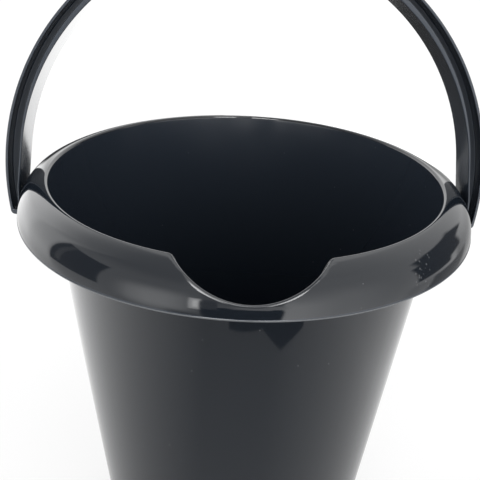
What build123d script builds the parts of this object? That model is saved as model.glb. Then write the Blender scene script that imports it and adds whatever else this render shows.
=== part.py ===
from build123d import *
import os
from math import atan2, cos, degrees, radians, sin, sqrt

# A 10 litre household bucket, moulded in two pieces: a tapered body whose wide rolled-over rim
# dips into a pouring lip, and a channelled bail that snaps into two ears under the rim.
# Millimetres and degrees. The floor is z = 0, the pouring lip faces -Y, the bail turns about X.

# Body: wall and base
RIM_HEIGHT = 280.0        # floor to the top of the rim
BASE_RADIUS = 103.0       # outside of the wall at the floor
MOUTH_RADIUS = 133.7      # outside of the wall, carried up to the rim's height
WALL = 2.0                # wall thickness, measured across
BASE_THICKNESS = 2.4
FOOT_HEIGHT = 4.0         # how far the base panel is raised off the floor
FOOT_WIDTH = 4.0          # width of the ring that the bucket stands on
FOOT_BEVEL = 0.8          # outer corner of the foot
FOOT_DRAFT = 1.0          # slope of the foot's inner side, across its height
CORNER_BEVEL = 4.0        # inside corner between wall and base

# Body: rolled rim
CREST_SETBACK = 1.3       # top of the rim, outside the wall's own line
RIM_OVERHANG = 20.7       # how far the skirt stands out from the wall's own line
SKIRT_DEPTH = 23.1        # top of the rim to the skirt's lower edge
RIM_WALL = 2.0            # at its thinnest: the rim's underside is made of straight runs
LIP_BEVEL = 1.9           # inner edge of the mouth

# Body: pouring lip, a round channel that runs down and inwards through the rim
SPOUT_RADIUS = 45.4
SPOUT_SLOPE = 42.0        # of the channel's floor, above the horizontal
SPOUT_DEPTH = 17.8        # top of the rim to the channel's floor, at the setback below
SPOUT_SETBACK = 4.4       # inside the skirt's face
SPOUT_WALL = 2.0
SPOUT_ROUND = 2.0         # edge of the channel

# Body: ears that carry the bail, and the gussets beside them
PIVOT_DROP = 4.4          # pivot axis below the skirt's lower edge
EAR_RADIUS = 10.0
EAR_FLARE = 4.0           # blend from the ear into the skirt's edge
GUSSET_THICKNESS = 1.8
GUSSET_SPACING = 34.0     # between the middles of the two gussets beside an ear
GUSSET_RECESS = 2.0       # gussets stop this far above the skirt's edge

# Bail
LEG_GAP = 0.5             # between the skirt and a leg
LEG_THICKNESS = 8.7       # where the legs are widest apart
LEG_TAIL = 7.5            # leg below the pivot axis
LEG_STRAIGHT = 12.0       # straight inner face of a leg, above the pivot axis
LEG_ROUND = 3.0           # outer corner at the foot of a leg
ARCH_RISE = 22.0          # centre of the arch above the pivot axis
BAIL_DEPTH = 10.7         # of the section, across the arch
BAIL_WIDTH = 27.0         # of the section, along Y
BAIL_WEB = 4.0
OUTER_FLANGE = 2.0
INNER_FLANGE = 1.5        # where the arch meets the legs
GRIP_FLANGE = 4.5         # inner flange at the top of the arch
CHANNEL_FOOT = 4.5        # the channels stop this far above the pivot axis
FLANGE_START = 8.0        # angle up the arch where the inner flange starts to thicken
BAIL_LEAN = 11.0          # how far the bail leans back at rest

# Pivot pegs, moulded on the bail
PEG_RADIUS = 4.5
PEG_CLEARANCE = 0.2       # around a peg in its ear
PEG_PLAY = 0.4            # between an ear and the peg's head
HEAD_RADIUS = 5.5
HEAD_LENGTH = 3.0
HEAD_TIP_RADIUS = 3.8
PEG_SLIT = 1.6            # lets the two halves of a peg close up as it snaps in

# Worked out from the sizes above
CREST_RADIUS = MOUTH_RADIUS + CREST_SETBACK
SKIRT_RADIUS = MOUTH_RADIUS + RIM_OVERHANG
SKIRT_EDGE = RIM_HEIGHT - SKIRT_DEPTH
PIVOT_HEIGHT = SKIRT_EDGE - PIVOT_DROP
EAR_BOTTOM = PIVOT_HEIGHT - EAR_RADIUS
FLOOR_TOP = FOOT_HEIGHT + BASE_THICKNESS
LEG_INNER = SKIRT_RADIUS + LEG_GAP
BAIL_OUTER = LEG_INNER + LEG_THICKNESS
BAIL_INNER = BAIL_OUTER - BAIL_DEPTH


def wall_radius(z):
    """Outside radius of the tapered wall at height z."""
    return BASE_RADIUS + (MOUTH_RADIUS - BASE_RADIUS) * z / RIM_HEIGHT


def rim_arcs(inset, mode=Mode.ADD):
    """Skirt's edge to crest in two tangent eighths of a turn, moved inwards by inset."""
    across = SKIRT_RADIUS - CREST_RADIUS
    long, short = sin(radians(45)), 1 - sin(radians(45))
    side_round = (long * SKIRT_DEPTH - short * across) / (long - short)
    crest_round = (long * across - short * SKIRT_DEPTH) / (long - short)
    side = CenterArc((SKIRT_RADIUS - side_round, SKIRT_EDGE), side_round - inset, 0, 45, mode=mode)
    crest = CenterArc((CREST_RADIUS, RIM_HEIGHT - crest_round), crest_round - inset, 45, 45, mode=mode)
    return side, crest


def corner_at(profile, across, up):
    """The corner of a profile that lies nearest to a point of its plane."""
    return profile.vertices().sort_by_distance((across, up, 0))[0]


def shell_profile():
    """Half section of wall, base and rim, with the skirt carried down to the ears' lowest point."""
    under_rim = RIM_HEIGHT - RIM_WALL
    foot_inner = BASE_RADIUS - FOOT_WIDTH
    with BuildSketch(Plane.XZ) as profile:
        with BuildLine():
            side, crest = rim_arcs(0)
            under_side, under_crest = rim_arcs(RIM_WALL, Mode.PRIVATE)
            Polyline(
                crest @ 1,
                (wall_radius(RIM_HEIGHT) - WALL, RIM_HEIGHT),
                (wall_radius(FLOOR_TOP) - WALL, FLOOR_TOP),
                (0, FLOOR_TOP),
                (0, FOOT_HEIGHT),
                (foot_inner - FOOT_DRAFT, FOOT_HEIGHT),
                (foot_inner, 0),
                (BASE_RADIUS, 0),
                (wall_radius(under_rim), under_rim),
                under_crest @ 1,
                under_crest @ 0.5,
                under_crest @ 0,
                under_side @ 0.5,
                under_side @ 0,
                (SKIRT_RADIUS - RIM_WALL, EAR_BOTTOM),
                (SKIRT_RADIUS, EAR_BOTTOM),
                side @ 0,
            )
        make_face()
        chamfer(corner_at(profile, wall_radius(RIM_HEIGHT) - WALL, RIM_HEIGHT), LIP_BEVEL)
        chamfer(corner_at(profile, wall_radius(FLOOR_TOP) - WALL, FLOOR_TOP), CORNER_BEVEL)
        chamfer(corner_at(profile, BASE_RADIUS, 0), FOOT_BEVEL)
    return profile.sketch


def rim_envelope():
    """The rim filled solid, from the middle of the wall to the middle of the skirt."""
    below = SKIRT_EDGE - SKIRT_DEPTH
    with BuildSketch(Plane.XZ) as profile:
        with BuildLine():
            side, crest = rim_arcs(RIM_WALL / 2)
            Polyline(
                crest @ 1,
                (wall_radius(RIM_HEIGHT) - WALL / 2, RIM_HEIGHT - RIM_WALL / 2),
                (wall_radius(below) - WALL / 2, below),
                side @ 0,
            )
        make_face()
    return revolve(profile.sketch, Axis.Z)


def spout_cylinder(radius):
    """The channel's round, from inside the mouth to outside the skirt."""
    slope = radians(SPOUT_SLOPE)
    floor_y = -(SKIRT_RADIUS - SPOUT_SETBACK)
    axis_z = RIM_HEIGHT - SPOUT_DEPTH + SPOUT_RADIUS / cos(slope)
    along = Vector(0, -cos(slope), sin(slope))
    inward = (RIM_OVERHANG + SPOUT_RADIUS) / cos(slope)
    outward = (SPOUT_SETBACK + SPOUT_RADIUS) / cos(slope)
    start = Vector(0, floor_y, axis_z) - along * inward
    return extrude(Plane(origin=start, z_dir=along) * Circle(radius), inward + outward)


def ear_tongues():
    """Two ears, seen along X, run through the whole rim."""
    with BuildSketch(Plane.YZ) as tongue:
        with Locations((0, PIVOT_HEIGHT)):
            Circle(EAR_RADIUS)
        with Locations((0, PIVOT_HEIGHT)):
            Rectangle(2 * EAR_RADIUS, SKIRT_EDGE - PIVOT_HEIGHT, align=(Align.CENTER, Align.MIN))
        with Locations((0, SKIRT_EDGE)):
            Rectangle(4 * EAR_RADIUS, EAR_RADIUS, align=(Align.CENTER, Align.MIN))
        fillet([corner_at(tongue, side * EAR_RADIUS, SKIRT_EDGE) for side in (-1, 1)], EAR_FLARE)
    return extrude(tongue.sketch, SKIRT_RADIUS + LEG_GAP, both=True)


def make_body():
    """Wall, base, rim, pouring lip and ears, in one moulding."""
    shell = revolve(shell_profile(), Axis.Z)

    trim_height = SKIRT_EDGE - EAR_BOTTOM
    ring = Cylinder(SKIRT_RADIUS + LEG_GAP, trim_height) - Cylinder(wall_radius(RIM_HEIGHT), trim_height)
    ring = Pos(0, 0, EAR_BOTTOM + trim_height / 2) * ring
    shell = shell - (ring - ear_tongues())

    envelope = rim_envelope()
    gussets = Part()
    for side in (-1, 1):
        for offset in (-GUSSET_SPACING / 2, GUSSET_SPACING / 2):
            plate = Box(RIM_OVERHANG * 2, GUSSET_THICKNESS, SKIRT_DEPTH - GUSSET_RECESS)
            middle = SKIRT_EDGE + GUSSET_RECESS + (SKIRT_DEPTH - GUSSET_RECESS) / 2
            gussets += Pos(side * SKIRT_RADIUS, offset, middle) * plate
    channel = spout_cylinder(SPOUT_RADIUS + SPOUT_WALL)
    body = shell + (gussets & envelope) + (channel & envelope)
    body = body - spout_cylinder(SPOUT_RADIUS)
    spout_floor = (0, SPOUT_SETBACK - SKIRT_RADIUS, RIM_HEIGHT - SPOUT_DEPTH)
    spout_face = body.faces().filter_by(GeomType.CYLINDER).sort_by_distance(spout_floor)[0]
    body = fillet(spout_face.edges(), SPOUT_ROUND)

    hole = Cylinder(PEG_RADIUS + PEG_CLEARANCE, RIM_OVERHANG, rotation=(0, 90, 0))
    for side in (-1, 1):
        body = body - Pos(side * SKIRT_RADIUS, 0, PIVOT_HEIGHT) * hole
    return body


def make_bail():
    """Arch, legs and pegs, standing upright with the pivot axis at the origin."""
    reach = sqrt(LEG_INNER**2 + (ARCH_RISE - LEG_STRAIGHT) ** 2)
    tangent = degrees(atan2(LEG_STRAIGHT - ARCH_RISE, LEG_INNER))
    tangent += degrees(atan2(sqrt(reach**2 - BAIL_INNER**2), BAIL_INNER))

    def on_arch(radius, angle):
        return (radius * cos(radians(angle)), ARCH_RISE + radius * sin(radians(angle)))

    def mirrored(point):
        return (-point[0], point[1])

    def at_height(radius, height):
        return (sqrt(radius**2 - (ARCH_RISE - height) ** 2), height)

    inner_start = on_arch(BAIL_INNER, tangent)
    foot = at_height(BAIL_OUTER, -LEG_TAIL)
    with BuildSketch(Plane.XZ) as outline:
        with BuildLine():
            legs = ((LEG_INNER, -LEG_TAIL), (LEG_INNER, LEG_STRAIGHT), inner_start)
            Polyline(foot, *legs)
            ThreePointArc(inner_start, on_arch(BAIL_INNER, 90), mirrored(inner_start))
            Polyline(mirrored(foot), *[mirrored(point) for point in legs])
            ThreePointArc(mirrored(foot), on_arch(BAIL_OUTER, 90), foot)
        make_face()
        fillet([corner_at(outline, side * foot[0], -LEG_TAIL) for side in (-1, 1)], LEG_ROUND)
    bail = extrude(outline.sketch, BAIL_WIDTH / 2, both=True)

    channel_outer = BAIL_OUTER - OUTER_FLANGE
    channel_inner = LEG_INNER + INNER_FLANGE
    flange_start = on_arch(BAIL_INNER + INNER_FLANGE, FLANGE_START)
    with BuildSketch(Plane.XZ) as channel:
        with BuildLine():
            end = at_height(channel_outer, CHANNEL_FOOT)
            legs = ((channel_inner, CHANNEL_FOOT), (channel_inner, LEG_STRAIGHT), flange_start)
            Polyline(end, *legs)
            ThreePointArc(flange_start, on_arch(BAIL_INNER + GRIP_FLANGE, 90), mirrored(flange_start))
            Polyline(mirrored(end), *[mirrored(point) for point in legs])
            ThreePointArc(mirrored(end), on_arch(channel_outer, 90), end)
        make_face()
    depth = (BAIL_WIDTH - BAIL_WEB) / 2
    for side in (-1, 1):
        bail = bail - Pos(0, side * (BAIL_WEB + depth) / 2, 0) * extrude(channel.sketch, depth / 2, both=True)
    return bail


def make_peg():
    """One peg with its split snap head, pointing along -X from the leg's inner face."""
    ear_inner = sqrt((SKIRT_RADIUS - RIM_WALL) ** 2 - HEAD_RADIUS**2)
    shoulder = ear_inner - PEG_PLAY
    tip = shoulder - HEAD_LENGTH
    with BuildSketch(Plane.XZ) as profile:
        with BuildLine():
            Polyline((LEG_INNER + INNER_FLANGE, 0), (LEG_INNER + INNER_FLANGE, PEG_RADIUS), (shoulder, PEG_RADIUS),
                     (shoulder, HEAD_RADIUS), (tip, HEAD_TIP_RADIUS), (tip, 0), close=True)
        make_face()
    peg = revolve(profile.sketch, Axis.X)
    slit = Box(LEG_INNER - tip, 2 * HEAD_RADIUS, PEG_SLIT, align=(Align.MIN, Align.CENTER, Align.CENTER))
    return peg - Pos(tip, 0, 0) * slit


body = make_body()
bail = make_bail()
peg = make_peg()
bail = bail + peg + mirror(peg, Plane.YZ)
bail = Pos(0, 0, PIVOT_HEIGHT) * Rot(-BAIL_LEAN, 0, 0) * bail

os.makedirs("parts", exist_ok=True)
export_step(body, "parts/bucket_body.step")
export_step(bail, "parts/bail_handle.step")
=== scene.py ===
"""A household bucket in glossy, nearly black plastic, dressed for the studio.

The body is one moulding: a tapered wall, a rolled rim with a hanging skirt, a pouring lip
pressed into the front of the rim, and two ears. The bail is the other, and swings in the ears.
Sizes are in millimetres and degrees. The pouring lip faces -Y and the bail turns about X.
"""

import logging
import math
from contextlib import contextmanager
from dataclasses import dataclass, field
from enum import Enum
from typing import Callable, Iterator, Mapping, Sequence

import bpy
import numpy as np
from mathutils import Matrix, Vector


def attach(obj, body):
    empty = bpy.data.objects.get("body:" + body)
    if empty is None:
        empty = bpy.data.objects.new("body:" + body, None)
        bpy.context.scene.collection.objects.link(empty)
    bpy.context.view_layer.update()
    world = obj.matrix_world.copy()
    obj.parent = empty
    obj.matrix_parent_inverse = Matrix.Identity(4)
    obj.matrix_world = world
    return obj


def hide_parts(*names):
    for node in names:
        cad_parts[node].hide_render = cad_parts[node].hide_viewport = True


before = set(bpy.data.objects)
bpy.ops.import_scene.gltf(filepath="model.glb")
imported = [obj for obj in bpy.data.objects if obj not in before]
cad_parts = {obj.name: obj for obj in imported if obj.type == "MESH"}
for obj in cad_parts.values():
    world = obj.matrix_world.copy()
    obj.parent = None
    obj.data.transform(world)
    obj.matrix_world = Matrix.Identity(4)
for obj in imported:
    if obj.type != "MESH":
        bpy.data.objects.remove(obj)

LOG = logging.getLogger("bucket")
MM = 0.001
MERGE = 1e-6
TINY = 1e-9
TINY_AREA = 1e-12
TOUCH = 0.1
ON_FACE = 0.5
# Film of dust and painted light: painted light inside the bucket and in the bail's channels, painted
# highlights along the hem and the flanges.
FILM_AND_LIGHT = "dust_film_and_light"
REMAP_SOCKETS = ("Value", "From Min", "From Max", "To Min", "To Max")
Point = tuple[float, float]
Triple = tuple[float, float, float]
Array = np.ndarray
Piece = bpy.types.Object
Socket = bpy.types.NodeSocket
Inputs = Mapping[str | int, object]


class Body(Enum):
    """The two bodies that pieces ride on."""

    BUCKET = "bucket"
    BAIL = "bail"


class Slot(Enum):
    """The record's material slots."""

    BODY = "body_plastic"
    BAIL = "bail_plastic"


class Side(Enum):
    """Left and right, as the sign of X."""

    LEFT = -1
    RIGHT = 1


class Cut(Enum):
    """Boolean operations."""

    TAKE_OFF = "DIFFERENCE"
    ADD = "UNION"


def deselect_all() -> None:
    """Go back to object mode with nothing selected."""
    if bpy.context.object and bpy.context.object.mode != "OBJECT":
        bpy.ops.object.mode_set(mode="OBJECT")
    bpy.ops.object.select_all(action="DESELECT")


def make_active(piece: Piece) -> None:
    """Select one piece alone and make it the active one.

    Args:
        piece: the object to work on.
    """
    deselect_all()
    piece.select_set(True)
    bpy.context.view_layer.objects.active = piece


@contextmanager
def editing(piece: Piece) -> Iterator[None]:
    """Edit mode on one piece, with all of its mesh selected.

    Args:
        piece: the mesh object to edit.

    Yields:
        Nothing, while edit mode lasts.
    """
    make_active(piece)
    bpy.ops.object.mode_set(mode="EDIT")
    bpy.ops.mesh.select_all(action="SELECT")
    yield
    bpy.ops.object.mode_set(mode="OBJECT")


def points_of(piece: Piece) -> Array:
    """Read where a piece's points are.

    Args:
        piece: the mesh object.

    Returns:
        The places in millimetres, one row each.
    """
    flat = np.empty(len(piece.data.vertices) * 3)
    piece.data.vertices.foreach_get("co", flat)
    return flat.reshape(-1, 3) / MM


def set_points(piece: Piece, points: Array) -> None:
    """Move the piece's points to new places, given in millimetres."""
    piece.data.vertices.foreach_set("co", (points * MM).ravel())
    piece.data.update()


def select_points(piece: Piece, chosen: Array) -> None:
    """Select only the chosen points of a piece.

    Args:
        piece: the mesh object.
        chosen: one flag for each point.
    """
    with editing(piece):
        bpy.ops.mesh.select_mode(type="VERT")
        bpy.ops.mesh.select_all(action="DESELECT")
    piece.data.vertices.foreach_set("select", chosen)
    ends = np.empty(len(piece.data.edges) * 2, int)
    piece.data.edges.foreach_get("vertices", ends)
    piece.data.edges.foreach_set("select", chosen[ends.reshape(-1, 2)].all(axis=1))


def add_loop(name: str, points: Array) -> Piece:
    """Add a closed loop of edges through the points.

    Args:
        name: the new object's name.
        points: places in millimetres, one row each.

    Returns:
        The loop's object.
    """
    deselect_all()
    bpy.ops.mesh.primitive_circle_add(vertices=len(points), radius=MM)
    loop = bpy.context.object
    loop.name = name
    set_points(loop, np.asarray(points, float))
    return loop


def add_cube() -> Piece:
    """Add a cube of one millimetre about the origin.

    Returns:
        The cube's object.
    """
    deselect_all()
    bpy.ops.mesh.primitive_cube_add(size=MM)
    return bpy.context.object


def merge_and_face_out(piece: Piece) -> None:
    """Merge points that meet and turn every face outwards.

    Args:
        piece: the mesh object.
    """
    with editing(piece):
        bpy.ops.mesh.remove_doubles(threshold=MERGE)
        bpy.ops.mesh.normals_make_consistent(inside=False)


def spin_open(piece: Piece, turns: Sequence[tuple[float, int]], axis: Triple) -> None:
    """Open a loop at its closing edge and spin it about an axis through the origin.

    Args:
        piece: the loop.
        turns: the angle and the number of steps of each turn, one after another.
        axis: the axis's direction.
    """
    with editing(piece):
        bpy.ops.mesh.select_all(action="DESELECT")
        bpy.ops.object.mode_set(mode="OBJECT")
        piece.data.edges[-1].select = True
        bpy.ops.object.mode_set(mode="EDIT")
        bpy.ops.mesh.delete(type="EDGE")
        bpy.ops.mesh.select_all(action="SELECT")
        for angle, steps in turns:
            bpy.ops.mesh.spin(steps=steps, angle=math.radians(angle), center=(0, 0, 0), axis=axis)
    merge_and_face_out(piece)


def apply(piece: Piece, kind: str, **settings: object) -> None:
    """Add one modifier to a piece and apply it.

    Args:
        piece: the object to change.
        kind: the modifier's type.
        settings: its options.
    """
    make_active(piece)
    modifier = piece.modifiers.new(kind.title(), kind)
    for option, value in settings.items():
        setattr(modifier, option, value)
    bpy.ops.object.modifier_apply(modifier=modifier.name)


def combine(piece: Piece, tool: Piece, cut: Cut) -> None:
    """Cut a piece with a tool or join the tool to it, and delete the tool."""
    apply(piece, "BOOLEAN", object=tool, operation=cut.value, solver="EXACT")
    bpy.data.objects.remove(tool, do_unlink=True)


def shade(piece: Piece, angle: float) -> None:
    """Smooth shading, with edges sharper than the angle kept sharp."""
    make_active(piece)
    bpy.ops.object.shade_smooth_by_angle(angle=math.radians(angle))


def lay_film_and_light(piece: Piece, amount: Array) -> None:
    """Note on a piece, one share for each point, how thick its film of dust and painted light is."""
    layer = piece.data.attributes.new(FILM_AND_LIGHT, "FLOAT", "POINT")
    layer.data.foreach_set("value", amount.astype(np.float32))


def arc(centre: Point, radius: float, start: float, end: float, steps: int) -> list[Point]:
    """Points along an arc, as across and up, from one angle to another in a number of chords."""
    angles = [math.radians(start + (end - start) * i / steps) for i in range(steps + 1)]
    return [(centre[0] + radius * math.cos(a), centre[1] + radius * math.sin(a)) for a in angles]


def run(start: Point, end: Point, steps: int) -> list[Point]:
    """Points along a straight run, without its two ends."""
    shares = [i / steps for i in range(1, steps)]
    return [(start[0] + (end[0] - start[0]) * s, start[1] + (end[1] - start[1]) * s) for s in shares]


def mirrored(path: Sequence[Point]) -> list[Point]:
    """The same path on the other side, run backwards."""
    return [(-across, up) for across, up in reversed(path)]


def shares_of(path: Array) -> Array:
    """Each point's share of the way along a path."""
    along = np.cumsum(np.linalg.norm(np.diff(path, axis=0, prepend=path[:1]), axis=1))
    return along / along[-1]


def resample(path: Array, shares: Array) -> Array:
    """Points at given shares of the way along a path."""
    along = shares_of(path)
    return np.stack([np.interp(shares, along, path[:, axis]) for axis in range(path.shape[1])], axis=1)


def off_skin(points: Array, skin: Array) -> tuple[Array, Array]:
    """How far points stand off a turned skin, and which way is out.

    Args:
        points: places, one row each.
        skin: the half section's path, with the material on its right.

    Returns:
        Signed distances, and unit directions away from the material.
    """
    across = np.hypot(points[:, 0], points[:, 1])
    flat = np.stack([across, points[:, 2]], axis=1)
    start, step = skin[:-1], np.diff(skin, axis=0)
    length = np.maximum((step**2).sum(axis=1), TINY_AREA)
    along = ((flat[:, None, :] - start) * step).sum(axis=2) / length
    foot = start + np.clip(along, 0, 1)[..., None] * step
    away = flat[:, None, :] - foot
    best = (away**2).sum(axis=2).argmin(axis=1)
    rows = np.arange(len(flat))
    run_along = step[best] / np.sqrt(length[best])[:, None]
    out = np.stack([-run_along[:, 1], run_along[:, 0]], axis=1)
    gap = (away[rows, best] * out).sum(axis=1)
    turn = points[:, :2] / np.maximum(across, TINY)[:, None]
    return gap, np.concatenate([turn * out[:, :1], out[:, 1:]], axis=1)


@dataclass
class PouringLip:
    """The round channel that runs down and inwards through the front of the rim."""

    radius: float = 44.8
    slope: float = 42.0
    floor_out: float = 150.0
    floor_up: float = 263.2
    wall: float = 2.0
    edge_round: float = 2.0
    fine_steps: int = 1500
    floor_steps: int = 200
    fewest_inside: int = 3
    soften_rounds: int = 6
    least_push: float = 0.2

    @property
    def tilt(self) -> Point:
        """Sine and cosine of the channel's slope."""
        return math.sin(math.radians(self.slope)), math.cos(math.radians(self.slope))

    @property
    def axis_up(self) -> float:
        """Height of the channel's axis, above the place where its floor's height is given."""
        return self.floor_up + self.radius / self.tilt[1]

    def depth(self, points: Array, radius: float) -> Array:
        """How far points lie inside the channel's round of a radius, negative outside."""
        across, below = self.off_axis(points)
        return radius - np.hypot(across, below)

    def off_axis(self, points: Array) -> tuple[Array, Array]:
        """Each point's two offsets from the channel's axis, across and square to it."""
        out, above = points[:, 1] + self.floor_out, points[:, 2] - self.axis_up
        return points[:, 0], out * self.tilt[0] + above * self.tilt[1]

    def away(self, points: Array) -> Array:
        """Find the directions that lead straight out of the channel's round.

        Args:
            points: places, one row each.

        Returns:
            One unit direction for each point.
        """
        sine, cosine = self.tilt
        across, below = self.off_axis(points)
        reach = np.maximum(np.hypot(across, below), TINY)
        square = below / reach
        return np.stack([across / reach, square * sine, square * cosine], axis=1)

    def clip(self, section: Array, bearing: float, radius: float) -> Array:
        """One upright section of the rim, with its path led along the channel where they cross.

        Args:
            section: the path's points, as across and up.
            bearing: the section's angle from the front, in radians.
            radius: the channel's radius on this face.

        Returns:
            The path with as many points, spaced as before.
        """
        fine = resample(section, np.linspace(0, 1, self.fine_steps))
        inside = self.depth(self.in_plane(fine, bearing), radius) > 0
        if inside.sum() < self.fewest_inside:
            return section
        first, last = np.flatnonzero(inside)[[0, -1]]
        reach = np.linspace(fine[first, 0], fine[last, 0], self.floor_steps)
        across, out = reach * math.sin(bearing), self.floor_out - reach * math.cos(bearing)
        drop = np.sqrt(np.maximum(radius**2 - across**2, 0))
        height = self.axis_up - (drop + out * self.tilt[0]) / self.tilt[1]
        floor = np.stack([reach, height], axis=1)
        path = np.concatenate([fine[:first], floor, fine[last + 1 :]])
        return resample(path, shares_of(section))

    @staticmethod
    def in_plane(section: Array, bearing: float) -> Array:
        """A section's points, stood at a bearing from the front."""
        across, up = section[:, 0], section[:, 1]
        return np.stack([across * math.sin(bearing), -across * math.cos(bearing), up], axis=1)

    def soften(self, points: Array, skin: Array) -> Array:
        """Round the edge between the rim's skin and the channel.

        Args:
            points: places on the sharp surface.
            skin: the rim's own half section, with the material on its right.

        Returns:
            The places moved on to the rounded surface.
        """
        for _ in range(self.soften_rounds):
            gap, lean = off_skin(points, skin)
            depth = self.depth(points, self.radius)
            near = np.stack([self.edge_round + gap, self.edge_round + depth], axis=1)
            near = np.maximum(near, 0)
            reach = np.linalg.norm(near, axis=1)
            level = np.minimum(-self.edge_round, np.maximum(gap, depth)) + reach
            steer = near / np.maximum(reach, TINY)[:, None]
            push = lean * steer[:, :1] - self.away(points) * steer[:, 1:]
            size = np.maximum((push**2).sum(axis=1), self.least_push)
            points = points - push * (level / size)[:, None]
        return points


@dataclass
class BucketBody:
    """Wall, base, rolled rim, pouring lip and ears, in one moulding."""

    rim_height: float = 280.0
    base_radius: float = 103.0
    mouth_radius: float = 133.7
    wall: float = 2.0
    base_thickness: float = 2.4
    floor_rings: Point = (35.0, 70.0)
    foot_height: float = 4.0
    foot_width: float = 4.0
    foot_draft: float = 1.0
    foot_round: float = 1.0
    corner_round: float = 6.0
    crest_setback: float = 1.3
    rim_overhang: float = 20.7
    skirt_depth: float = 23.1
    rim_wall: float = 2.0
    rim_turn: float = 45.0
    lip_radius: float = 133.1
    lip_round: float = 2.1
    lip_rise: float = 0.4
    lip_turn: float = 78.0
    shoulder_turn: float = 60.0
    edge_round: float = 0.7
    edge_turn: float = 50.0
    hem_depth: float = 0.9
    hem_bulge: float = 0.3
    throat_round: float = 1.0
    throat_offset: float = 1.1
    pivot_drop: float = 4.4
    ear_radius: float = 10.0
    ear_flare: float = 4.0
    peg_hole: float = 4.7
    drill_length: float = 20.0
    gusset_thickness: float = 1.8
    gusset_spacing: float = 34.0
    gusset_recess: float = 2.0
    gusset_inset: float = 1.0
    gusset_bite: float = 2.0 / 3
    gusset_top: float = 276.5
    front_half: float = 25.0
    front_step: float = 0.34
    ear_half: float = 6.6
    ear_step: float = 0.5
    plain_step: float = 2.0
    notch_low: float = 205.0
    notch_margin: float = 1.0
    refine_reach: float = 2.4
    refine_rounds: int = 4
    shade_angle: float = 34.0
    # Painted light inside: film from this height up to the rim, heavier towards the back, so the inside is
    # painted lighter there.
    painted_light_low: float = 110.0
    painted_light_front: float = 0.17
    painted_light_gain: float = 0.28
    painted_light_skin: float = 0.2
    # Painted highlight: heavy pale film along the skirt's lower edge.
    hem_highlight: float = 0.9
    lip: PouringLip = field(default_factory=PouringLip)

    @property
    def crest_radius(self) -> float:
        """Radius of the rim's highest line."""
        return self.mouth_radius + self.crest_setback

    @property
    def skirt_radius(self) -> float:
        """Radius of the skirt's outer face."""
        return self.mouth_radius + self.rim_overhang

    @property
    def skirt_edge(self) -> float:
        """Height of the skirt's lower edge."""
        return self.rim_height - self.skirt_depth

    @property
    def pivot_height(self) -> float:
        """Height of the axis that the bail turns about."""
        return self.skirt_edge - self.pivot_drop

    def wall_radius(self, up: float) -> float:
        """Outside radius of the tapered wall at a height."""
        return self.base_radius + (self.mouth_radius - self.base_radius) * up / self.rim_height

    def rim_path(self, inset: float, steps: int) -> list[Point]:
        """Crest to skirt in two tangent eighths of a turn, moved inwards by an inset.

        Args:
            inset: distance inside the rim's outer face.
            steps: chords in each eighth.

        Returns:
            The points, from the crest outwards and down.
        """
        across, down = self.skirt_radius - self.crest_radius, self.skirt_depth
        long, short = math.sin(math.radians(self.rim_turn)), 1 - math.sin(math.radians(self.rim_turn))
        side = (long * down - short * across) / (long - short)
        crest = (long * across - short * down) / (long - short)
        top = arc((self.crest_radius, self.rim_height - crest), crest - inset, 90, self.rim_turn, steps)
        low = arc((self.skirt_radius - side, self.skirt_edge), side - inset, self.rim_turn, 0, steps)
        return top + low[1:]

    def crown_path(self, lean: float) -> list[Point]:
        """The rim's upper skin: the lip's round, a flat shoulder and the skirt, tangent all along.

        Args:
            lean: the wall's angle from upright.

        Returns:
            The points, from the top of the inner wall round to the skirt's lower edge.
        """
        lip = (self.lip_radius + self.lip_round, self.rim_height + self.lip_rise - self.lip_round)
        path = arc(lip, self.lip_round, 180 - lean, self.lip_turn, steps=14)
        eighth = 18
        skirt = self.rim_path(0, eighth)[eighth:]
        turns = (self.lip_turn, self.shoulder_turn, self.rim_turn)
        ways = np.stack([np.cos(np.radians(turns)), np.sin(np.radians(turns))])
        rounds = np.linalg.solve(np.diff(ways), np.subtract(skirt[0], path[-1]))
        for first, last, radius, way in zip(turns, turns[1:], rounds, ways.T):
            path += arc(path[-1] - radius * way, radius, first, last, steps=9)[1:]
        return path + skirt[1:]

    def half_section(self) -> tuple[list[Point], slice, slice]:
        """The closed half section, from the middle of the floor round to the middle of the base.

        Returns:
            The points, the part that is the rim's upper skin, and the part that is its underside.
        """
        lean = math.degrees(math.atan2(self.mouth_radius - self.base_radius, self.rim_height))
        tilt = math.cos(math.radians(lean))
        floor = self.foot_height + self.base_thickness
        points: list[Point] = [(0.0, floor)] + [(ring, floor) for ring in self.floor_rings]

        corner_up = floor + self.corner_round
        corner = (self.wall_radius(corner_up) - self.wall - self.corner_round / tilt, corner_up)
        points += arc(corner, self.corner_round, -90, -lean, steps=8)
        low = (self.wall_radius(self.notch_low) - self.wall, self.notch_low)
        points += run(points[-1], low, steps=6)

        upper_from = len(points)
        crown = self.crown_path(lean)
        points += [low] + run(low, crown[0], steps=54) + crown
        upper_to = len(points)

        edge_up = self.skirt_edge - self.hem_depth + self.edge_round
        edge = (self.skirt_radius + self.hem_bulge - self.edge_round, edge_up)
        points += arc(edge, self.edge_round, self.edge_turn, -90, steps=9)
        inner_edge = (self.skirt_radius - self.rim_wall + self.edge_round, edge_up)
        points += arc(inner_edge, self.edge_round, -90, -180, steps=4)
        under_from = len(points) - 1
        under = self.rim_path(self.rim_wall, steps=8)[::-1]
        points += under[1:]
        throat_up = self.rim_height - self.rim_wall
        throat = (self.wall_radius(throat_up) + self.throat_offset, throat_up - self.throat_round)
        points += arc(throat, self.throat_round, 90, 180 - lean, steps=4)
        low_out = (self.wall_radius(self.notch_low), self.notch_low)
        points += run(points[-1], low_out, steps=34) + [low_out]
        under_to = len(points)

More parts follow.
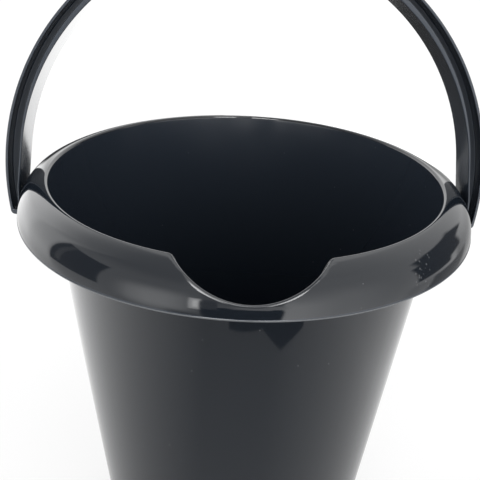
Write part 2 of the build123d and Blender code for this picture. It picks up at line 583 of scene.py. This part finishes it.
        foot = (self.base_radius - self.foot_round / tilt, self.foot_round)
        foot_arc = arc(foot, self.foot_round, -lean, -90, steps=5)
        points += run(low_out, foot_arc[0], steps=7) + foot_arc
        foot_inner = self.base_radius - self.foot_width
        points += [(foot_inner, 0.0), (foot_inner - self.foot_draft, self.foot_height)]
        points += [(ring, self.foot_height) for ring in reversed(self.floor_rings)]
        points += [(0.0, self.foot_height)]
        return points, slice(upper_from, upper_to), slice(under_from, under_to)

    def sectors(self) -> list[tuple[float, int]]:
        """The turns that make up the full circle, from the front's left edge on.

        Returns:
            Each sector's angle and its number of steps.
        """
        ear = (2 * self.ear_half, self.ear_step)
        quarter = (90 - self.front_half - self.ear_half, self.plain_step)
        back = (180 - 2 * self.ear_half, self.plain_step)
        turns = [(2 * self.front_half, self.front_step), quarter, ear, back, ear, quarter]
        return [(angle, round(angle / step)) for angle, step in turns]

    def build(self) -> Piece:
        """Turn the half section, press the pouring lip into it and draw out the ears.

        Returns:
            The finished mesh object.
        """
        section, upper, under = self.half_section()
        path = np.array(section)
        start = math.radians(-self.front_half)
        shell = add_loop("bucket_shell", PouringLip.in_plane(path, start))
        spin_open(shell, self.sectors(), axis=(0, 0, 1))
        self.press_lip(shell, path, upper, under)
        self.draw_ears(shell)
        self.add_gussets(shell)
        self.bore_ears(shell)
        shade(shell, self.shade_angle)
        return shell

    def press_lip(self, shell: Piece, path: Array, upper: slice, under: slice) -> None:
        """Lead the rim's skin and underside along the channel, section by section.

        Args:
            shell: the turned body.
            path: its half section.
            upper: the part of the path that is the rim's upper skin.
            under: the part that is its underside.
        """
        points = points_of(shell)
        across = np.hypot(points[:, 0], points[:, 1])
        bearing = np.arctan2(points[:, 0], -points[:, 1])
        half, step = math.radians(self.front_half), math.radians(self.front_step)
        high = points[:, 2] > self.notch_low - self.notch_margin
        front = np.flatnonzero((np.abs(bearing) < half + step / 4) & high)
        flat = np.stack([across[front], points[front, 2]], axis=1)
        rows = ((flat[:, None, :] - path[None]) ** 2).sum(axis=2).argmin(axis=1)
        columns = np.round((bearing[front] + half) / step).astype(int)
        for part, radius in ((upper, self.lip.radius), (under, self.lip.radius + self.lip.wall)):
            skin = path[part]
            mine = (rows >= part.start) & (rows < part.stop)
            for column in np.unique(columns):
                here = np.flatnonzero(mine & (columns == column))
                turn = float(bearing[front[here]].mean())
                led = self.lip.clip(skin, turn, radius)
                points[front[here]] = PouringLip.in_plane(led, turn)[rows[here] - part.start]
        set_points(shell, points)
        self.round_channel(shell, front[(rows >= upper.start) & (rows < upper.stop)], path[upper])

    def round_channel(self, shell: Piece, upper: Array, skin: Array) -> None:
        """Refine the mesh along the channel's edge and settle it on a round.

        Args:
            shell: the body.
            upper: numbers of the points on the rim's upper skin.
            skin: the half section's path of that skin.
        """
        points = points_of(shell)
        points[upper] = self.lip.soften(points[upper], skin)
        set_points(shell, points)
        gap, _ = off_skin(points[upper], skin)
        depth = self.lip.depth(points[upper], self.lip.radius)
        reach = self.refine_reach * self.lip.edge_round
        near = np.zeros(len(points), bool)
        near[upper[(np.abs(gap) < reach) & (np.abs(depth) < reach)]] = True
        select_points(shell, near)
        bpy.ops.object.mode_set(mode="EDIT")
        bpy.ops.mesh.subdivide(number_cuts=2, quadcorner="INNERVERT")
        for _ in range(self.refine_rounds):
            bpy.ops.mesh.vertices_smooth(factor=0.5, repeat=2)
            bpy.ops.object.mode_set(mode="OBJECT")
            points = points_of(shell)
            chosen = np.empty(len(points), bool)
            shell.data.vertices.foreach_get("select", chosen)
            points[chosen] = self.lip.soften(points[chosen], skin)
            set_points(shell, points)
            bpy.ops.object.mode_set(mode="EDIT")
        bpy.ops.object.mode_set(mode="OBJECT")

    def draw_ears(self, shell: Piece) -> None:
        """Draw the skirt's lower edge down into the two ears.

        Args:
            shell: the body.
        """
        points = points_of(shell)
        across = np.hypot(points[:, 0], points[:, 1])
        offset = np.abs(points[:, 1])
        low_edge = self.skirt_edge - self.hem_depth
        skirt = across > self.skirt_radius - self.rim_wall - TOUCH
        edge = skirt & (points[:, 2] < self.skirt_edge + TOUCH)
        lobe = edge & (offset <= self.ear_radius)
        low = self.pivot_height - np.sqrt(np.maximum(self.ear_radius**2 - offset**2, 0))
        points[lobe, 2] += low[lobe] - low_edge
        wing = self.ear_radius + self.ear_flare
        flare = edge & (offset > self.ear_radius) & (offset < wing)
        rise = np.sqrt(np.maximum(self.ear_flare**2 - (wing - offset) ** 2, 0))
        sink = self.skirt_edge - self.ear_flare + rise - low_edge
        points[flare, 2] += np.minimum(sink, 0)[flare]
        set_points(shell, points)

    def add_gussets(self, shell: Piece) -> None:
        """Join the four small plates under the rim, beside the ears.

        Args:
            shell: the body.
        """
        outer = self.skirt_radius - self.rim_wall / 2
        low = self.skirt_edge + self.gusset_recess
        rim = np.array(self.rim_path(self.rim_wall / 2, steps=8))
        for side in Side:
            for offset in (-self.gusset_spacing / 2, self.gusset_spacing / 2):
                plate = add_cube()
                corners = points_of(plate)
                outside, below = corners[:, 0] > 0, corners[:, 2] < 0
                reach = math.sqrt(outer**2 - offset**2) - self.gusset_inset
                top = np.interp(math.hypot(reach, offset), rim[:, 0], rim[:, 1])
                up = np.where(below, low, np.where(outside, top, self.gusset_top))
                root = np.sqrt((self.wall_radius(up) - self.gusset_bite) ** 2 - offset**2)
                across = np.where(outside, reach, root)
                thick = offset + corners[:, 1] * self.gusset_thickness
                set_points(plate, np.stack([side.value * across, thick, up], axis=1))
                merge_and_face_out(plate)
                combine(shell, plate, Cut.ADD)

    def bore_ears(self, shell: Piece) -> None:
        """Bore the holes that the bail's pegs turn in.

        Args:
            shell: the body.
        """
        for side in Side:
            deselect_all()
            bpy.ops.mesh.primitive_cylinder_add(
                vertices=48,
                radius=self.peg_hole * MM,
                depth=self.drill_length * MM,
                location=(side.value * self.skirt_radius * MM, 0, self.pivot_height * MM),
                rotation=(0, math.pi / 2, 0),
            )
            combine(shell, bpy.context.object, Cut.TAKE_OFF)

    def dress(self, shell: Piece, finish: "GlossPlastic") -> None:
        """Give the body its finish and its place in the frame, with dust and painted light up the inside
        and a painted highlight along the hem.

        Args:
            shell: the body.
            finish: what it is made of.
        """
        points = points_of(shell)
        up = points[:, 2]
        across = np.hypot(points[:, 0], points[:, 1])
        inside = across < self.wall_radius(up) - self.painted_light_skin * self.wall
        # Painted light: lighter towards the rim and towards the back of the inside.
        rise = np.clip((up - self.painted_light_low) / (self.rim_height - self.painted_light_low), 0, 1)
        back = self.painted_light_front + self.painted_light_gain * np.clip(points[:, 1] / self.mouth_radius, 0, 1)
        film_and_light = np.where(inside & (up > self.corner_round), rise * back, 0.0)
        # Painted highlight: a pale line along the skirt's lower edge.
        hem_line = (across > self.skirt_radius - TOUCH / 2) & (up < self.skirt_edge + 2 * TOUCH)
        lay_film_and_light(shell, np.where(hem_line, self.hem_highlight, film_and_light))
        finish.put_on(shell)
        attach(shell, Body.BUCKET.value)
        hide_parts("bucket_body")


@dataclass
class BailHandle:
    """The arch of I-shaped section, its legs and its two split pegs."""

    pivot_height: float = 252.5
    lean: float = 11.0
    leg_inner: float = 154.9
    outer: float = 163.6
    inner: float = 152.9
    rise: float = 22.0
    leg_straight: float = 12.0
    leg_tail: float = 7.5
    leg_round: float = 3.0
    cut_foot: float = -30.0
    width: float = 27.0
    web: float = 4.0
    outer_flange: float = 2.0
    inner_flange: float = 1.5
    grip_flange: float = 4.5
    flange_start: float = 8.0
    channel_foot: float = -4.0
    edge_bevel: float = 0.7
    bevel_angle: float = 40.0
    shade_angle: float = 30.0
    peg_radius: float = 4.5
    peg_tip: float = 148.9
    peg_shoulder: float = 151.9
    peg_steps: int = 40
    head_radius: float = 5.5
    tip_radius: float = 3.8
    slit: float = 1.6
    arch_steps: int = 150
    outer_steps: int = 160
    wear_top: float = 120.0
    wear_fade: float = 60.0
    worn_film: float = 0.3
    # Painted light on the channel floors, lightening the shade between the flanges.
    channel_light: float = 0.6
    # Painted highlight on the flanges' front and back faces.
    flange_highlight: float = 0.5

    def inner_line(self) -> Array:
        """The arch's inner line, with straight legs that run on past the bail's feet.

        Returns:
            The closed outline's points, as across and up from the pivot.
        """
        leg, drop = self.leg_inner, self.leg_straight - self.rise
        turn = math.degrees(math.atan2(drop, leg) + math.acos(self.inner / math.hypot(leg, drop)))
        right = [(leg, self.cut_foot), (leg, self.leg_straight)]
        top = arc((0.0, self.rise), self.inner, turn, 180 - turn, self.arch_steps)
        return np.array(right + top + mirrored(right))

    def plate(self, name: str, outline: Array, near: float, far: float) -> Piece:
        """A solid plate of an outline, between two places along Y.

        Args:
            name: the object's name.
            outline: points as across and up from the pivot.
            near: the front face's place.
            far: the back face's place.

        Returns:
            The plate's object.
        """
        points = np.stack([outline[:, 0], np.full(len(outline), near), outline[:, 1]], axis=1)
        solid = add_loop(name, points)
        with editing(solid):
            bpy.ops.mesh.edge_face_add()
            bpy.ops.mesh.extrude_region_move(TRANSFORM_OT_translate={"value": (0, (far - near) * MM, 0)})
        merge_and_face_out(solid)
        return solid

    def build(self) -> Piece:
        """Cut the arch out of a plate, sink its channels, add the pegs and stand it in place.

        Returns:
            The finished mesh object.
        """
        half = self.width / 2
        bail = self.plate("bail_arch", self.rounded_arch(), -half, half)
        inside = self.plate("bail_inside", self.inner_line(), -self.width, self.width)
        combine(bail, inside, Cut.TAKE_OFF)
        for near, far in ((-self.width, -self.web / 2), (self.web / 2, self.width)):
            combine(bail, self.channel(near, far), Cut.TAKE_OFF)
        merge_and_face_out(bail)
        bevel = {"width": self.edge_bevel * MM, "segments": 3}
        apply(bail, "BEVEL", limit_method="ANGLE", angle_limit=math.radians(self.bevel_angle), **bevel)
        for side in Side:
            combine(bail, self.peg(side), Cut.ADD)
        shade(bail, self.shade_angle)
        apply(bail, "WEIGHTED_NORMAL", keep_sharp=True)
        lean_back = Matrix.Rotation(math.radians(-self.lean), 4, "X")
        bail.data.transform(Matrix.Translation((0, 0, self.pivot_height * MM)) @ lean_back)
        return bail

    def rounded_arch(self) -> Array:
        """The arch's outer line, with a round at the foot of each leg.

        Returns:
            The closed outline's points, as across and up from the pivot.
        """
        reach = self.outer - self.leg_round
        drop = self.rise + self.leg_tail - self.leg_round
        centre = (math.sqrt(reach**2 - drop**2), self.leg_round - self.leg_tail)
        turn = -math.degrees(math.asin(drop / reach))
        right = arc(centre, self.leg_round, -90, turn, steps=7)
        top = arc((0.0, self.rise), self.outer, turn, 180 - turn, self.outer_steps)
        return np.array(right + top[1:-1] + mirrored(right))

    def channel(self, near: float, far: float) -> Piece:
        """The tool that sinks one channel into a side of the bail.

        Args:
            near: place of the tool's front face.
            far: place of its back face.

        Returns:
            The tool's object.
        """
        floor = self.outer - self.outer_flange
        leg = self.leg_inner + self.inner_flange
        end = math.degrees(math.asin((self.channel_foot - self.rise) / floor))
        outside = arc((0.0, self.rise), floor, end, 180 - end, self.arch_steps)
        start = math.radians(self.flange_start)
        reach = self.inner + self.inner_flange
        first = (reach * math.cos(start), self.rise + reach * math.sin(start))
        top = self.rise + self.inner + self.grip_flange
        centre = (first[0] ** 2 + first[1] ** 2 - top**2) / (2 * (first[1] - top))
        lean = math.degrees(math.atan2(first[1] - centre, first[0]))
        inside = arc((0.0, centre), top - centre, 180 - lean, lean, self.arch_steps)
        right = [(leg, self.leg_straight), (leg, self.channel_foot)]
        return self.plate("bail_channel", np.array(outside + mirrored(right) + inside + right), near, far)

    def peg(self, side: Side) -> Piece:
        """One peg with its split snap head.

        Args:
            side: which leg it is on.

        Returns:
            The peg's object.
        """
        root = self.leg_inner + self.inner_flange
        profile = [
            (root, 0.0),
            (root, self.peg_radius),
            (self.peg_shoulder, self.peg_radius),
            (self.peg_shoulder, self.head_radius),
            (self.peg_tip, self.tip_radius),
            (self.peg_tip, 0.0),
        ]
        pin = add_loop("bail_peg", np.array([(side.value * across, 0.0, up) for across, up in profile]))
        spin_open(pin, [(360.0, self.peg_steps)], axis=(1, 0, 0))
        saw = add_cube()
        reach = self.leg_inner - self.peg_tip
        size = np.array([2 * reach, 4 * self.head_radius, self.slit])
        set_points(saw, points_of(saw) * size + np.array([side.value * self.peg_tip, 0, 0]))
        combine(pin, saw, Cut.TAKE_OFF)
        return pin

    def dress(self, bail: Piece, finish: "GlossPlastic") -> None:
        """Give the bail its finish and its place in the frame, with wear low on it, painted light in its
        channels and painted highlights on its flanges.

        Args:
            bail: the bail.
            finish: what it is made of.
        """
        lean = math.radians(self.lean)
        points = points_of(bail)
        across, high = np.abs(points[:, 0]), points[:, 2] - self.pivot_height
        forward = points[:, 1] * math.cos(lean) - high * math.sin(lean)
        up = points[:, 1] * math.sin(lean) + high * math.cos(lean)
        arch = np.hypot(across, up - self.rise) < self.inner + ON_FACE
        leg = (up < self.leg_straight + 2 * ON_FACE) & (across < self.leg_inner + ON_FACE)
        wear = self.worn_film * np.clip((self.wear_top - up) / self.wear_fade, 0, 1)
        channel = (up > self.leg_straight) | (across > self.leg_inner + self.inner_flange / 2)
        film_and_light = np.where(arch | leg, wear, 0.0)
        # Painted light on the channel floors.
        film_and_light = np.where((np.abs(forward) < self.web) & channel, self.channel_light, film_and_light)
        # Painted highlight on the flanges' front and back faces.
        lay_film_and_light(bail, np.where(np.abs(forward) > self.width / 2 - TOUCH, self.flange_highlight, film_and_light))
        finish.put_on(bail)
        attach(bail, Body.BAIL.value)
        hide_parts("bail_handle")


class Graph:
    """The nodes of a material or of the surroundings."""

    def __init__(self, tree: bpy.types.NodeTree) -> None:
        """Work on one tree of nodes."""
        self.nodes, self.links = tree.nodes, tree.links

    def fill(self, node: bpy.types.Node, inputs: Inputs) -> None:
        """Feed a node's sockets.

        Args:
            node: the node.
            inputs: for each socket, another node's output or a constant.
        """
        for name, value in inputs.items():
            if isinstance(value, Socket):
                self.links.new(value, node.inputs[name])
            else:
                node.inputs[name].default_value = value

    def add(self, kind: str, inputs: Inputs | None = None, **options: object) -> bpy.types.NodeOutputs:
        """Add a node.

        Args:
            kind: its type, without the words that every type starts with.
            inputs: what its sockets are fed.
            options: its own settings.

        Returns:
            The new node's outputs.
        """
        node = self.nodes.new("ShaderNode" + kind)
        for option, value in options.items():
            setattr(node, option, value)
        self.fill(node, inputs or {})
        return node.outputs

    def sum(self, kind: str, *inputs: Socket | float) -> Socket:
        """The result of one sum on numbers."""
        return self.add("Math", dict(enumerate(inputs)), operation=kind)[0]

    def remap(self, value: Socket, span: Point, levels: Point = (0.0, 1.0), kind: str = "LINEAR") -> Socket:
        """A value carried from one span to two levels, and held past its ends."""
        inputs = dict(zip(REMAP_SOCKETS, (value, *span, *levels)))
        return self.add("MapRange", inputs, interpolation_type=kind)["Result"]

    def noise(self, place: Socket, scale: float, detail: float) -> Socket:
        """Cloudy noise over a place, by its scale per metre and its detail."""
        return self.add("TexNoise", {"Vector": place, "Scale": scale, "Detail": detail})["Fac"]

    def spots(self, place: Socket, scale: float, edge: Point, cover: float = 1.0) -> Socket:
        """Scattered round spots, by their scale per metre, soft edge and cover."""
        cells = self.add("TexVoronoi", {"Vector": place, "Scale": scale})["Distance"]
        return self.remap(cells, edge, (0.0, cover))

    def lay(self, share: Socket, under: Socket | Triple, over: Triple) -> Socket:
        """A share of one colour laid over another."""
        base = under if isinstance(under, Socket) else (*under, 1.0)
        return self.add("Mix", {"Factor": share, "A": base, "B": (*over, 1.0)}, data_type="RGBA")["Result"]

    def bump(self, height: Socket, strength: float, depth: float, **more: Socket) -> Socket:
        """Relief of a height, over any relief that is given as its Normal."""
        inputs = {"Height": height, "Strength": strength, "Distance": depth, **more}
        return self.add("Bump", inputs)["Normal"]


@dataclass(frozen=True)
class GlossPlastic:
    """Glossy moulded plastic, nearly black, with faint waviness, dust and fine scuffs, and a pale film that
    paints light and highlights.
    """

    name: str
    colour: Triple = (0.0075, 0.0102, 0.0146)
    # Colour of the film: dust, and painted light where a piece notes it.
    film_and_light: Triple = (0.049, 0.062, 0.084)
    # Pale colour of dust specks and scuffs, also laid over heavy film as a painted highlight.
    dust_and_highlight: Triple = (0.1, 0.104, 0.108)
    refraction: float = 1.5
    smooth: float = 0.04
    worn: float = 0.08
    dulled: float = 0.3
    cloud: Point = (22.0, 4.0)
    cloud_span: Point = (0.35, 0.7)
    # Film past this span turns to the pale colour; only the hem's painted highlight is that heavy.
    highlight_span: Point = (0.6, 1.0)
    speck_scale: float = 75.0
    speck_edge: Point = (0.034, 0.02)
    fleck_scale: float = 330.0
    fleck_edge: Point = (0.28, 0.12)
    fleck_cover: float = 0.7
    scuff: Triple = (97.0, -116.0, 269.0)
    scuff_reach: float = 13.0
    wave: Point = (60.0, 2.0)
    wave_strength: float = 0.25
    wave_depth: float = 0.00004
    swell: Point = (26.0, 1.0)
    swell_draw: Triple = (1.0, 1.0, 0.18)
    swell_strength: float = 0.5
    swell_depth: float = 0.0003

    def material(self) -> bpy.types.Material:
        """Build the finish's nodes.

        Returns:
            The new material.
        """
        paint = bpy.data.materials.new(self.name)
        paint.use_nodes = True
        graph = Graph(paint.node_tree)
        place = graph.add("TexCoord")["Object"]
        film_and_light_share = graph.add("Attribute", attribute_name=FILM_AND_LIGHT)["Fac"]
        cloud = graph.noise(place, *self.cloud)
        gloss = graph.remap(cloud, self.cloud_span, (self.smooth, self.worn))
        specks = graph.spots(place, self.speck_scale, self.speck_edge)
        flecks = graph.spots(place, self.fleck_scale, self.fleck_edge, self.fleck_cover)
        off = graph.add("VectorMath", {0: place, 1: Vector(self.scuff) * MM}, operation="DISTANCE")["Value"]
        near = graph.remap(off, (self.scuff_reach * MM, self.scuff_reach * MM / 2))
        marks = graph.sum("MAXIMUM", specks, graph.sum("MULTIPLY", flecks, near))
        # The film lays dust and painted light over the plastic.
        veiled = graph.lay(film_and_light_share, graph.lay(marks, self.colour, self.dust_and_highlight), self.film_and_light)
        waves = graph.bump(graph.noise(place, *self.wave), self.wave_strength, self.wave_depth)
        drawn = graph.add("VectorMath", {0: place, 1: self.swell_draw}, operation="MULTIPLY")["Vector"]
        slow = graph.noise(drawn, *self.swell)
        inputs = {
            "IOR": self.refraction,
            "Roughness": graph.sum("MULTIPLY_ADD", film_and_light_share, self.dulled, gloss),
            # Heavy film turns pale: a painted highlight.
            "Base Color": graph.lay(graph.remap(film_and_light_share, self.highlight_span), veiled, self.dust_and_highlight),
            "Normal": graph.bump(slow, self.swell_strength, self.swell_depth, Normal=waves),
        }
        graph.fill(graph.nodes["Principled BSDF"], inputs)
        return paint

    def put_on(self, piece: Piece) -> None:
        """Make this the piece's only material."""
        piece.data.materials.clear()
        piece.data.materials.append(self.material())


@dataclass(frozen=True)
class Panel:
    """An evenly lit area of the surroundings, by bearing from the front and rise from level."""

    bearing: Point
    rise: Point
    glow: float
    soft: Point


@dataclass
class Surroundings:
    """Soft studio panels round the bucket, laid over each other, with dark gaps between them."""

    gap: float = 0.4
    ceiling: float = 0.75
    ceiling_from: Point = (16.0, 36.0)
    panels: tuple[Panel, ...] = (
        Panel((20, 152), (26, 140), 1.3, (24, 16)),
        Panel((10, 150), (-70, 50), 1.4, (12, 16)),
        Panel((-100, -10), (-70, 40), 1.05, (8, 20)),
        Panel((-176, -96), (-75, 52), 1.25, (8, 24)),
        Panel((-155, -101), (-14, 36), 2.4, (5, 26)),
        Panel((-155, -122), (-10, 34), 2.85, (8, 26)),
        Panel((-58, -24), (-20, 14), 1.75, (12, 20)),
        Panel((-51, -30), (-22, 14), 2.7, (16, 28)),
        Panel((-4, 60), (-50, 24), 2.0, (30, 30)),
        Panel((4, 34), (-50, 8), 2.9, (28, 22)),
        Panel((-100, -69), (-10, 29), 0.2, (1.5, 1.5)),
        Panel((-96, -92.5), (-5, 28), 0.45, (2, 4)),
        Panel((80, 100), (-60, -12), 1.0, (10, 8)),
        Panel((116, 156), (-40, 0), 0.7, (6, 22)),
        Panel((97, 128), (-60, -12), 0.34, (6, 4)),
        Panel((84.5, 110), (-8, 18), 0.14, (3, 3)),
        Panel((104, 121), (-3, 12), 0.14, (4, 4)),
        Panel((89.5, 130.5), (8, 26.5), 0.16, (5, 4)),
        Panel((-20, 17), (2, 44), 0.8, (3, 8)),
        Panel((-20, 17.5), (-70, -5), 0.06, (2, 2)),
        Panel((-20, -12), (-10, 11), 0.4, (1, 4)),
        Panel((0, 18), (-5, 3), 1.7, (6, 2)),
        Panel((-36, -20), (-70, -24), 0.5, (8, 12)),
        Panel((-25, -20), (-13, 12), 4.6, (1, 3)),
        Panel((-23, -20.5), (-8, 8), 7.5, (1.5, 6)),
        Panel((-32, 2), (44, 72), 1.5, (8, 8)),
        Panel((-19, -6), (44, 72), 4.0, (3, 4)),
        Panel((-1, 11), (44, 72), 4.0, (3, 4)),
        Panel((-20, 150), (70, 110), 2.3, (10, 8)),
        Panel((16, 45), (64, 110), 4.2, (8, 8)),
        Panel((-205, -158), (4, 78), 1.9, (8, 10)),
        Panel((148, 205), (6, 78), 1.9, (8, 10)),
        Panel((-200, -156), (-32, 2), 0.08, (4, 4)),
        Panel((158, 200), (-34, -4), 2.6, (4, 4)),
        Panel((-14, 42), (-80, -41), 0.12, (2, 2)),
    )

    def build(self) -> None:
        """Build the surroundings' nodes, white to the camera."""
        world = bpy.data.worlds.new("surroundings")
        world.use_nodes = True
        graph = Graph(world.node_tree)
        split = graph.add("SeparateXYZ", {"Vector": graph.add("TexCoord")["Generated"]})
        bearing = graph.sum("ARCTAN2", split["X"], graph.sum("MULTIPLY", split["Y"], -1.0))
        rise = graph.sum("ARCSINE", split["Z"])
        low, high = (math.radians(angle) for angle in self.ceiling_from)
        level = graph.remap(rise, (low, high), (self.gap, self.ceiling), "SMOOTHSTEP")
        for panel in self.panels:
            sides = self.within(graph, bearing, panel.bearing, panel.soft[0])
            heights = self.within(graph, rise, panel.rise, panel.soft[1])
            cover = graph.sum("MULTIPLY", sides, heights)
            level = graph.add("Mix", {"Factor": cover, "A": level, "B": panel.glow})["Result"]
        seen = graph.add("LightPath")["Is Camera Ray"]
        level = graph.add("Mix", {"Factor": seen, "A": level, "B": 1.0})["Result"]
        graph.fill(graph.nodes["Background"], {"Color": (1, 1, 1, 1), "Strength": level})
        bpy.context.scene.world = world

    @staticmethod
    def within(graph: Graph, value: Socket, span: Point, soft: float) -> Socket:
        """One inside a span of angles and nothing outside, with soft ends.

        Args:
            graph: the surroundings' nodes.
            value: an angle in radians.
            span: the span's two ends.
            soft: width of each end.

        Returns:
            The cover.
        """
        middle, half = (span[0] + span[1]) / 2, (span[1] - span[0]) / 2
        off = graph.sum("ABSOLUTE", graph.sum("SUBTRACT", value, math.radians(middle)))
        ends = (math.radians(half + soft / 2), math.radians(half - soft / 2))
        return graph.remap(off, ends, kind="SMOOTHSTEP")


@dataclass(frozen=True)
class TableSide:
    """How the table's light rises towards one side, along a slanted line across it."""

    slant: float
    start: float
    end: float
    gain: float


@dataclass
class Studio:
    """Pale floor, table top, soft panels, two lamps and the photograph's viewpoint."""

    focal: float = 50.784
    sensor: float = 36.0
    near_clip: float = 10.0
    eye: Triple = (-17.6, -443.15, 445.42)
    yaw: float = 2.0
    elevation: float = 26.3229
    roll: float = 2.7124
    floor_size: float = 12000.0
    floor_drop: float = 0.5
    floor_tone: float = 0.8
    white: float = 0.8
    table_radius: float = 470.0
    table_gap: tuple[Point, ...] = ((-45.0, -347.0), (61.0, -347.0), (112.0, -303.0), (195.0, -303.0))
    table_light: float = 0.5
    table_sides: tuple[TableSide, ...] = (
        TableSide(slant=-0.35, start=-5.0, end=-395.0, gain=1.1),
        TableSide(slant=0.35, start=-20.0, end=270.0, gain=0.54),
    )
    lamp_distance: float = 5000.0
    lamp_glow: float = 12.0
    lamps: tuple[tuple[Point, ...], ...] = (
        ((-4, 24), (-4, 62), (-26, 62), (-26, 43), (-20, 31)),
        ((7, 24), (7, 62), (24, 62), (24, 38), (18, 27)),
    )
    surroundings: Surroundings = field(default_factory=Surroundings)

    def camera(self) -> None:
        """Set up the camera at the photograph's viewpoint."""
        lens = bpy.data.cameras.new("camera")
        lens.lens, lens.sensor_width, lens.sensor_fit = self.focal, self.sensor, "HORIZONTAL"
        lens.clip_start = self.near_clip * MM
        view = bpy.data.objects.new("camera", lens)
        bpy.context.collection.objects.link(view)
        yaw, rise, roll = (math.radians(a) for a in (self.yaw, self.elevation, self.roll))
        place = Matrix.Translation(Vector(self.eye) * MM)
        for angle, axis in ((-yaw, "Z"), (math.pi / 2 - rise, "X"), (roll, "Z")):
            place = place @ Matrix.Rotation(angle, 4, axis)
        view.matrix_world = place
        bpy.context.scene.camera = view

    def floor(self) -> None:
        """Lay the pale floor that the camera sees."""
        deselect_all()
        place = (0, 0, -self.floor_drop * MM)
        bpy.ops.mesh.primitive_plane_add(size=self.floor_size * MM, location=place)
        ground = bpy.context.object
        ground.name = "floor"
        ground.visible_glossy = False
        ground.data.materials.append(self.card("floor_card", self.pale_paper))

    def table(self) -> None:
        """Lay the table top that only reflections see, with a gap in its front edge."""
        first = -math.degrees(math.acos(self.table_gap[-1][0] / self.table_radius))
        last = 360 - math.degrees(math.acos(self.table_gap[0][0] / self.table_radius))
        edge = arc((0.0, 0.0), self.table_radius, first, last, steps=90) + list(self.table_gap)
        corners = np.array([(across, along, 0.0) for across, along in edge])
        self.mirror_card("table", corners, self.card("table_card", self.shaded_light))

    def hang_lamps(self) -> None:
        """Hang the lamps far behind the camera, where only reflections see them."""
        for outline in self.lamps:
            turn, lift = np.radians(outline).T
            ways = [np.sin(turn) * np.cos(lift), -np.cos(turn) * np.cos(lift), np.sin(lift)]
            corners = np.stack(ways, axis=1) * self.lamp_distance
            self.mirror_card("lamp", corners, self.card("lamp_glow", self.even_light))

    @staticmethod
    def mirror_card(name: str, corners: Array, material: bpy.types.Material) -> None:
        """Put up a card that only reflections see.

        Args:
            name: the card's name.
            corners: its corners, one row each.
            material: what it is made of.
        """
        card = add_loop(name, corners)
        with editing(card):
            bpy.ops.mesh.edge_face_add()
        card.visible_camera = card.visible_diffuse = card.visible_shadow = False
        card.data.materials.append(material)

    @staticmethod
    def card(name: str, surface: Callable[[Graph], Socket]) -> bpy.types.Material:
        """A material for the stage.

        Args:
            name: its name.
            surface: adds the nodes of its surface.

        Returns:
            The new material.
        """
        card = bpy.data.materials.new(name)
        card.use_nodes = True
        graph = Graph(card.node_tree)
        graph.nodes.clear()
        graph.add("OutputMaterial", {"Surface": surface(graph)})
        return card

    def even_light(self, graph: Graph) -> Socket:
        """The lamps' even light."""
        return graph.add("Emission", {"Strength": self.lamp_glow})["Emission"]

    def shaded_light(self, graph: Graph) -> Socket:
        """The table's light, darker in the middle, where the bucket keeps the light off.

        Args:
            graph: the table card's nodes.

        Returns:
            The lit surface.
        """
        split = graph.add("SeparateXYZ", {"Vector": graph.add("TexCoord")["Object"]})
        level = self.table_light
        for side in self.table_sides:
            along = graph.sum("MULTIPLY_ADD", split["Y"], side.slant, split["X"])
            rise = graph.remap(along, (side.start * MM, side.end * MM), (0.0, side.gain))
            level = graph.sum("ADD", rise, level)
        return graph.add("Emission", {"Strength": level})["Emission"]

    def pale_paper(self, graph: Graph) -> Socket:
        """The floor's paper, which the camera sees as nearly white and which keeps a shadow.

        Args:
            graph: the floor card's nodes.

        Returns:
            The mixed surface.
        """
        tone = self.floor_tone
        paper = graph.add("BsdfDiffuse", {"Color": (tone, tone, tone, 1.0)})["BSDF"]
        glow = graph.add("Emission", {"Strength": 1.0})["Emission"]
        share = graph.sum("MULTIPLY", graph.add("LightPath")["Is Camera Ray"], self.white)
        return graph.add("MixShader", {0: share, 1: paper, 2: glow})["Shader"]

    def build(self) -> None:
        """Set the stage, the light and the view."""
        self.surroundings.build()
        self.floor()
        self.table()
        self.hang_lamps()
        self.camera()
        bpy.context.scene.view_settings.view_transform = "Standard"


def main() -> None:
    """Build the body, the bail and the studio, in that order."""
    logging.basicConfig(level=logging.INFO, format="%(name)s: %(message)s")
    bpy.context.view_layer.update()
    pieces: list[tuple[BucketBody | BailHandle, GlossPlastic]] = [
        (BucketBody(), GlossPlastic("body_plastic")),
        (BailHandle(), GlossPlastic("bail_plastic")),
    ]
    for assembly, finish in pieces:
        piece = assembly.build()
        assembly.dress(piece, finish)
        LOG.info("%s: %d faces", piece.name, len(piece.data.polygons))
    Studio().build()


if __name__ == "__main__":
    main()
